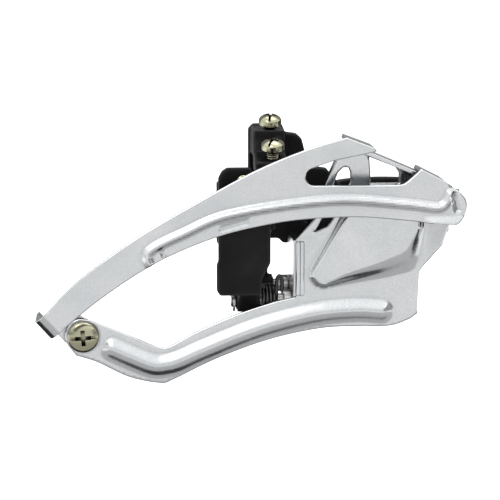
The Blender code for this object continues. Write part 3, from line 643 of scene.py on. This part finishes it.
FLARE_START = 6.2                # X where the front starts to bend back
FLARE_SLOPE = 0.35
FLARE_BEND = 0.8                 # half the length of that bend
FLARE_LOW = -13.0                # the flare's lower end
EYE_RADIUS = 5.2                 # the arm's end, round the tail screw
REAR_WALL_BACK = -31.5           # Y of the folded walls' far edges
FRONT_WALL_BACK = -31.0
FRONT_WALL = [(4.5, -14.0), (4.0, -25.5)]
REAR_FLANGE_END = (-33.5, -24.0)             # Y, Z where the flange meets the outer pivot's eye
REAR_FLANGE_TOP = [(-14.0, -12.0), (-17.0, -4.5), (-20.0, -4.0)]
REAR_FLANGE_SIDE = (-4.0, -20.5)             # Z of its upper and lower end at the sheet
PIVOT_EYES = (4.2, 4.0)                      # radii round the outer and inner low pivots
BRIDGE_FRONT = -44.0
BRIDGE_ROOT = 0.8                # how far inside the sheet the bridge starts
BRIDGE = [(-17.5, 25.0), (2.5, 16.5), (9.0, 13.0)]
REAR_EDGE = [(-31.5, -20.5), (-31.5, -3.5), (-26.0, 2.5), (-23.0, 12.5), (-19.5, 20.5)]


def inner_outline():
    arm_top = curve([
        (-91.0, -26.5), (-79.0, -31.5), (-72.0, -34.5), (-68.0, -34.5), (-59.5, -30.0),
        (-47.5, -25.0), (-38.0, -22.0), REAR_EDGE[0]])
    front = [(12.5, 9.0), (14.0, 3.0), (13.5, -0.5), (11.5, -6.0), (9.0, -8.5), (5.5, -12.0)]
    front += [(4.5, -13.5), (4.0, -26.0)]
    low = curve([
        (2.0, -27.5), (-4.0, -29.5), (-14.0, -29.5), (-24.5, -30.0), (-39.0, -33.0),
        (-54.5, -38.5), (-67.0, -44.5), (-71.0, -45.5), (-80.0, -43.5), (-89.0, -39.0),
        (-95.0, -37.0)])
    eye = arc(TAIL_SCREW, EYE_RADIUS, 215, 105, 14)
    return arm_top + REAR_EDGE[1:] + BRIDGE + front + low + eye


def rear_slot():
    """The long opening between the plate's rear edge and the dish."""
    return [
        (-26.0, -1.5), (-22.5, 0.0), (-21.0, 2.0), (-18.0, 8.0), (-16.0, 13.0), (-16.0, 15.5),
        (-16.5, 17.0), (-18.0, 17.0), (-19.5, 15.5), (-21.0, 11.5), (-24.0, 2.5)]


def bridge_window():
    """The opening under the bridge."""
    return [(-10.5, 20.0), (-3.0, 17.0), (-2.0, 15.5), (-2.0, 12.5), (-10.0, 12.5)]


def inner_height(points):
    x, z = points[:, 0], points[:, 1]
    to_rim = distance_to(closed(DISH_RIM), points)
    to_face = np.where(inside(DISH_FACE, points), 0.0, distance_to(closed(DISH_FACE), points))
    top = DISH_HEIGHT - DISH_LEAN[0] * (DISH_CORNER[0] - x) - DISH_LEAN[1] * (z - DISH_CORNER[1])
    dish = np.where(inside(DISH_RIM, points), top * eased(to_rim / (to_rim + to_face + TINY)), 0.0)
    ramped = np.clip(x - FLARE_START + FLARE_BEND, 0.0, None)
    flare = np.where(
        ramped < 2 * FLARE_BEND, ramped ** 2 / (4 * FLARE_BEND), ramped - FLARE_BEND)
    flare = np.where(z > FLARE_LOW, -FLARE_SLOPE * flare, 0.0)
    rib = INNER_RIB_HEIGHT * bump(
        distance_to(INNER_RIB, points), INNER_RIB_HALF_WIDTH, RIB_FULLNESS)
    return np.where(dish > 0.0, dish, flare + rib)


def build_inner_plate():
    bm = pressed_sheet(inner_outline(), [rear_slot(), bridge_window()], inner_height, INNER_FACE)
    back = INNER_FACE + FLANGE_ROOT
    flange = [(back, z) for z in REAR_FLANGE_SIDE] + [REAR_FLANGE_END]
    flange += arc(OUTER_LOW, PIVOT_EYES[0], 200, 280) + arc(INNER_LOW, PIVOT_EYES[1], 275, 380)
    add_prism(bm, flange + REAR_FLANGE_TOP, "X", *REAR_FLANGE)
    add_prism(bm, strip(REAR_EDGE[1:], -SHEET), "Y", back, REAR_WALL_BACK)
    add_prism(bm, strip(BRIDGE, -SHEET), "Y", BRIDGE_FRONT, INNER_FACE + BRIDGE_ROOT)
    add_prism(bm, strip(FRONT_WALL, -SHEET), "Y", back, FRONT_WALL_BACK)
    foot_x, foot_z = REAR_EDGE[0]
    cap_radius, cap = POST_RADIUS * POST_CAP[0], POST_CAP[1]
    for x in (foot_x + POST_RADIUS, foot_x + POST_RADIUS + POST_SPACING * POST_RADIUS):
        rod = lathe([
            (0.0, -cap), (cap_radius, -cap), (POST_RADIUS, 0.0), (POST_RADIUS, POST_LENGTH),
            (cap_radius, POST_LENGTH + cap), (0.0, POST_LENGTH + cap)], ROUND // 2)
        append(bm, rod, Matrix.Translation(
            (x, INNER_FACE + POST_PLACE[0], foot_z + POST_PLACE[1])))
    make("inner_plate_fine", bm, CHROME, "cage", "chrome_sheet", "inner_cage_plate")


# ---- screws ----
CROWN_FOOT, CROWN_RISE = 0.42, 0.58          # shares of a head's height below and in its crown
CROWN_STEPS = 10
HEAD_CHAMFER = 0.35
ABOVE = 1.0                      # how far a cutter reaches over a head
CROSS = (1.02, 0.27, 0.08)       # length and width over the head's radius, floor over its height
DRIVER_SLOT = (2.4, 0.2, 0.62)   # the same for the slot
THREAD_ROOT = 0.8                # of a thread's outer radius
HEAD_OVERLAP = 0.2               # how far a rod starts inside its head
LIMIT_ROD = (1.8, 0.7)           # radius, pitch
TAIL_ROD = (2.4, 5.2, 0.8)       # radius, length, pitch
HIGH_TURN, LOW_TURN, TAIL_TURN = [math.radians(turn) for turn in (64.0, 82.0, 4.0)]
ANCHOR_HEAD = [(0.0, 2.8), (2.5, 2.8), (3.1, 2.45), (3.1, 0.0), (0.0, 0.0)]
ANCHOR_SHARP = 25.0
ANCHOR_ROUND = 0.15
ANCHOR_ROD = (1.5, 1.9, -5.6, 0.8)           # root, crest, low end, pitch
ANCHOR_SEAT = -34.4              # Y of the face under the head


def bar(length, width, low, high, turn):
    """A bar across Z, for a recess."""
    bm = bmesh.new()
    bmesh.ops.create_cube(bm, size=1.0)
    bm.transform(Matrix.Diagonal((length, width, high - low, 1.0)))
    bm.transform(Matrix.Translation((0.0, 0.0, (high + low) / 2)))
    bm.transform(Matrix.Rotation(turn, 4, "Z"))
    return bm


def pan_head(radius, height, slot_turn):
    """A pan head about Z with its seat at 0, a domed crown, a cross recess and a slot."""
    angles = [math.radians(90.0 * step / CROWN_STEPS) for step in range(1, CROWN_STEPS)]
    crown = [(radius * math.sin(a), height * (CROWN_FOOT + CROWN_RISE * math.cos(a)))
             for a in angles]
    side = [(radius, HEAD_CHAMFER), (radius - HEAD_CHAMFER, 0.0), (0.0, 0.0)]
    sizes = []
    for length, width, floor in (CROSS, DRIVER_SLOT):
        sizes.append((radius * length, radius * width, height * floor))
    (cross, arm, low), slot = sizes
    cutters = [
        bar(long, wide, floor, height + ABOVE, slot_turn)
        for long, wide, floor in ((cross, arm, low), (arm, cross, low), slot)]
    return carved(lathe([(0.0, height)] + crown + side), cutters)


def screw(name, body, node, matrix, head, rod, slot_turn):
    """A pan-head screw. head is (radius, height); rod is (radius, length, pitch)."""
    radius, length, pitch = rod
    bm = pan_head(*head, slot_turn)
    append(bm, thread(radius * THREAD_ROOT, radius, -length, HEAD_OVERLAP, pitch))
    bm.transform(matrix)
    make(name, bm, ZINC, body, "zinc_screw", node)


def limit_matrix(tip, length):
    """Puts a limit screw's seat on its leaning axis, `length` up from its tip."""
    y = tip[0] - length * math.sin(LIMIT_SCREW_LEAN)
    z = tip[1] + length * math.cos(LIMIT_SCREW_LEAN)
    return Matrix.Translation((LIMIT_SCREW_X, y, z)) @ Matrix.Rotation(LIMIT_SCREW_LEAN, 4, "X")


def build_screws():
    radius, pitch = LIMIT_ROD
    for name, tip, length, turn in (
            ("high_limit_screw", HIGH_SCREW_TIP, HIGH_SCREW_LENGTH, HIGH_TURN),
            ("low_limit_screw", LOW_SCREW_TIP, LOW_SCREW_LENGTH, LOW_TURN)):
        screw(f"{name}_fine", name, name, limit_matrix(tip, length), LIMIT_HEAD,
              (radius, length, pitch), turn)
    seat = Matrix.Translation((TAIL_SCREW[0], INNER_FACE - FIT, TAIL_SCREW[1]))
    screw("tail_screw_fine", "cage", "tail_screw",
          seat @ Matrix.Rotation(math.radians(90.0), 4, "X"), TAIL_HEAD, TAIL_ROD, TAIL_TURN)


def build_anchor_bolt():
    """The hex-head bolt that clamps the cable against the outer link."""
    root, crest, low, pitch = ANCHOR_ROD
    hexagon = lathe(ANCHOR_HEAD, 6)
    round_edges(hexagon, ANCHOR_SHARP, ANCHOR_ROUND, 2)
    append(hexagon, thread(root, crest, low, HEAD_OVERLAP, pitch))
    seat = Matrix.Translation((ANCHOR[0], ANCHOR_SEAT, ANCHOR[1]))
    hexagon.transform(seat @ Matrix.Rotation(math.radians(-90.0), 4, "X"))
    make("cable_anchor_bolt_fine", hexagon, ZINC, "outer_link", "zinc_screw", "cable_anchor_bolt")


SPRING_TURNS = 3.75
SPRING_RADIUS = 4.5
SPRING_WIRE = 0.55               # the wire's radius
SPRING_ENDS = (-40.8, -36.9)     # X
SPRING_LEG = [(-6.6, 0.6), (-3.4, 0.3)]      # Y from the pivot, Z over the coil
HOOK_WIDTH = 1.6
HOOK = [                         # share of the hook's width, Z over the pivot
    (0.0, 2.5), (0.0, 6.0), (0.12, 7.3), (0.5, 8.0), (0.88, 7.3), (1.0, 6.0), (1.0, 3.4)]


def build_spring():
    """The torsion spring on the low outer pivot, with a straight leg and a hook."""
    left, right = SPRING_ENDS
    y, z = OUTER_LOW
    steps = int(SPRING_TURNS * ROUND)
    coil = []
    for step in range(steps + 1):
        angle = math.radians(90.0) + 2 * math.pi * SPRING_TURNS * step / steps
        coil.append((left + (right - left) * step / steps,
                     y + SPRING_RADIUS * math.cos(angle), z + SPRING_RADIUS * math.sin(angle)))
    leg = [(left, y + side, z + SPRING_RADIUS + rise) for side, rise in SPRING_LEG]
    hook = curve([(right + HOOK_WIDTH * part, y - SPRING_RADIUS, z + rise) for part, rise in HOOK])
    into_hook = ROUND // 4       # the coil's last quarter turn gives way to the hook
    make("return_spring_fine", wire(leg + coil[:-into_hook] + hook, SPRING_WIRE), SPRING,
         "outer_link", "spring_steel", "return_spring")


# ---- the CAD nodes that stay ----
CAST = ("bracket_body", "clamp_band", "outer_link", "inner_link")
BUSHES = ("outer_top_bush", "outer_low_bush", "inner_top_bush", "inner_low_bush")
CAST_VOXEL = 0.00035
CAST_ROUNDS = 6


def soften(node):
    """Rounds a cast piece's edges: a fine even mesh, then smoothed."""
    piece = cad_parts[node]
    remesh = piece.modifiers.new("even mesh", "REMESH")
    remesh.mode = "VOXEL"
    remesh.voxel_size = CAST_VOXEL
    remesh.use_smooth_shade = True
    smooth = piece.modifiers.new("rounded edges", "SMOOTH")
    smooth.factor = 0.5
    smooth.iterations = CAST_ROUNDS


def finish_nodes():
    finishes = {**dict.fromkeys(CAST, BLACK), **dict.fromkeys(BUSHES, BUSH), "clamp_bolt": ZINC}
    for name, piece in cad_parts.items():
        for slot in piece.material_slots:
            slot.material = finishes.get(name, STEEL)
    for name in CAST:
        soften(name)


# ---- studio ----
FLOOR_Z = -0.085                 # metres, as everywhere below
FLOOR_REACH = 8.0
FLOOR_SHADE = 0.92
CARD_Z = -0.083                  # cards show in reflections only
CARD_REACH = 0.2
FRONT_CARD_REACH = 1.5
BACK_CARD = (-0.9, 0.8, 0.3, -0.06, 0.7)     # X from and to, Y, Z from and to
MATT = 0.9
ROOM_HEIGHTS = (-0.1, 0.6)       # from the floor's grey light to the ceiling's brighter one
ROOM_LIGHT = (0.95, 1.7)
MIDDLE = (-0.045, -0.03, -0.01)  # where the lights aim
LIGHTS = [                       # name, place, width and height, watts
    ("key", (-0.45, -0.75, 0.75), (0.6, 0.5), 3.0),
    ("top", (0.1, 0.1, 0.9), (0.9, 0.5), 3.0),
    ("fill", (0.7, -0.6, 0.25), (0.4, 0.6), 0.8)]


def plain(name, shade):
    """A matt grey."""
    made, _, _, shader = new_material(name)
    shader.inputs["Base Color"].default_value = (shade, shade, shade, 1.0)
    shader.inputs["Roughness"].default_value = MATT
    shader.inputs["Specular IOR Level"].default_value = 0.0
    return made


def sheet_object(name, corners, finish):
    mesh = bpy.data.meshes.new(name)
    mesh.from_pydata(corners, [], [(0, 1, 2, 3)])
    mesh.materials.append(finish)
    made = bpy.data.objects.new(name, mesh)
    bpy.context.scene.collection.objects.link(made)
    return made


def lying(reach, near, far, z):
    """The corners of a level sheet, from Y `near` to `far`."""
    return [(-reach, near, z), (reach, near, z), (reach, far, z), (-reach, far, z)]


def side_card(x, near, far, top):
    """The corners of a card that stands on the floor on the right."""
    return [(x, near, CARD_Z), (x, far, CARD_Z), (x, far, top), (x, near, top)]


def area_light(name, location, size, energy):
    light = bpy.data.lights.new(name, "AREA")
    light.shape = "RECTANGLE"
    light.size, light.size_y = size
    light.energy = energy
    made = bpy.data.objects.new(name, light)
    made.location = location
    made.rotation_euler = (Vector(MIDDLE) - Vector(location)).to_track_quat("-Z", "Y").to_euler()
    bpy.context.scene.collection.objects.link(made)


def studio():
    sheet_object(
        "floor", lying(FLOOR_REACH, -FLOOR_REACH, FLOOR_REACH, FLOOR_Z),
        plain("floor_white", FLOOR_SHADE))
    left, right, y, low, high = BACK_CARD
    behind = [(left, y, low), (right, y, low), (right, y, high), (left, y, high)]
    for name, corners, shade in (
            ("card_below", lying(CARD_REACH, -0.055, 0.05, CARD_Z), 0.02),
            ("card_low_front", lying(CARD_REACH, -0.16, -0.055, CARD_Z), 0.4),
            ("card_front", lying(FRONT_CARD_REACH, -1.35, -0.16, CARD_Z), 0.62),
            ("card_right_front", side_card(0.45, -0.9, -0.2, 0.3), 0.25),
            ("card_right", side_card(0.3, -0.08, 0.3, 0.12), 0.02),
            ("card_behind", behind, 0.2)):
        card = sheet_object(name, corners, plain(f"{name}_grey", shade))
        card.visible_camera = False
        card.visible_diffuse = False
        card.visible_shadow = False
    world = bpy.data.worlds.new("soft_room")
    world.use_nodes = True
    nodes, links = world.node_tree.nodes, world.node_tree.links
    where = nodes.new("ShaderNodeTexCoord")
    split = nodes.new("ShaderNodeSeparateXYZ")
    links.new(where.outputs["Generated"], split.inputs["Vector"])
    shade = nodes.new("ShaderNodeMapRange")
    shade.inputs["From Min"].default_value, shade.inputs["From Max"].default_value = ROOM_HEIGHTS
    shade.inputs["To Min"].default_value, shade.inputs["To Max"].default_value = ROOM_LIGHT
    links.new(split.outputs["Z"], shade.inputs["Value"])
    nodes["Background"].inputs["Color"].default_value = (1.0, 1.0, 1.0, 1.0)
    links.new(shade.outputs["Result"], nodes["Background"].inputs["Strength"])
    bpy.context.scene.world = world
    for light in LIGHTS:
        area_light(*light)
    bpy.context.scene.view_settings.view_transform = "Standard"


CAMERA_LENS = 131.0              # millimetres on a sensor of 36
CAMERA_SENSOR = 36.0
CAMERA_RANGE = (0.05, 30.0)
CAMERA_PLACE = (-0.0807, -0.5495, 0.0842)
CAMERA_TILT = math.radians(80.0)             # from straight down
CAMERA_PAN = math.radians(-4.0)


def camera():
    data = bpy.data.cameras.new("camera")
    data.lens = CAMERA_LENS
    data.sensor_width = CAMERA_SENSOR
    data.clip_start, data.clip_end = CAMERA_RANGE
    made = bpy.data.objects.new("camera", data)
    made.location = CAMERA_PLACE
    made.rotation_euler = Euler((CAMERA_TILT, 0.0, CAMERA_PAN))
    bpy.context.scene.collection.objects.link(made)
    bpy.context.scene.camera = made


camera()
studio()
finish_nodes()
build_outer_plate()
build_inner_plate()
build_screws()
build_anchor_bolt()
build_spring()

bpy.context.view_layer.update()
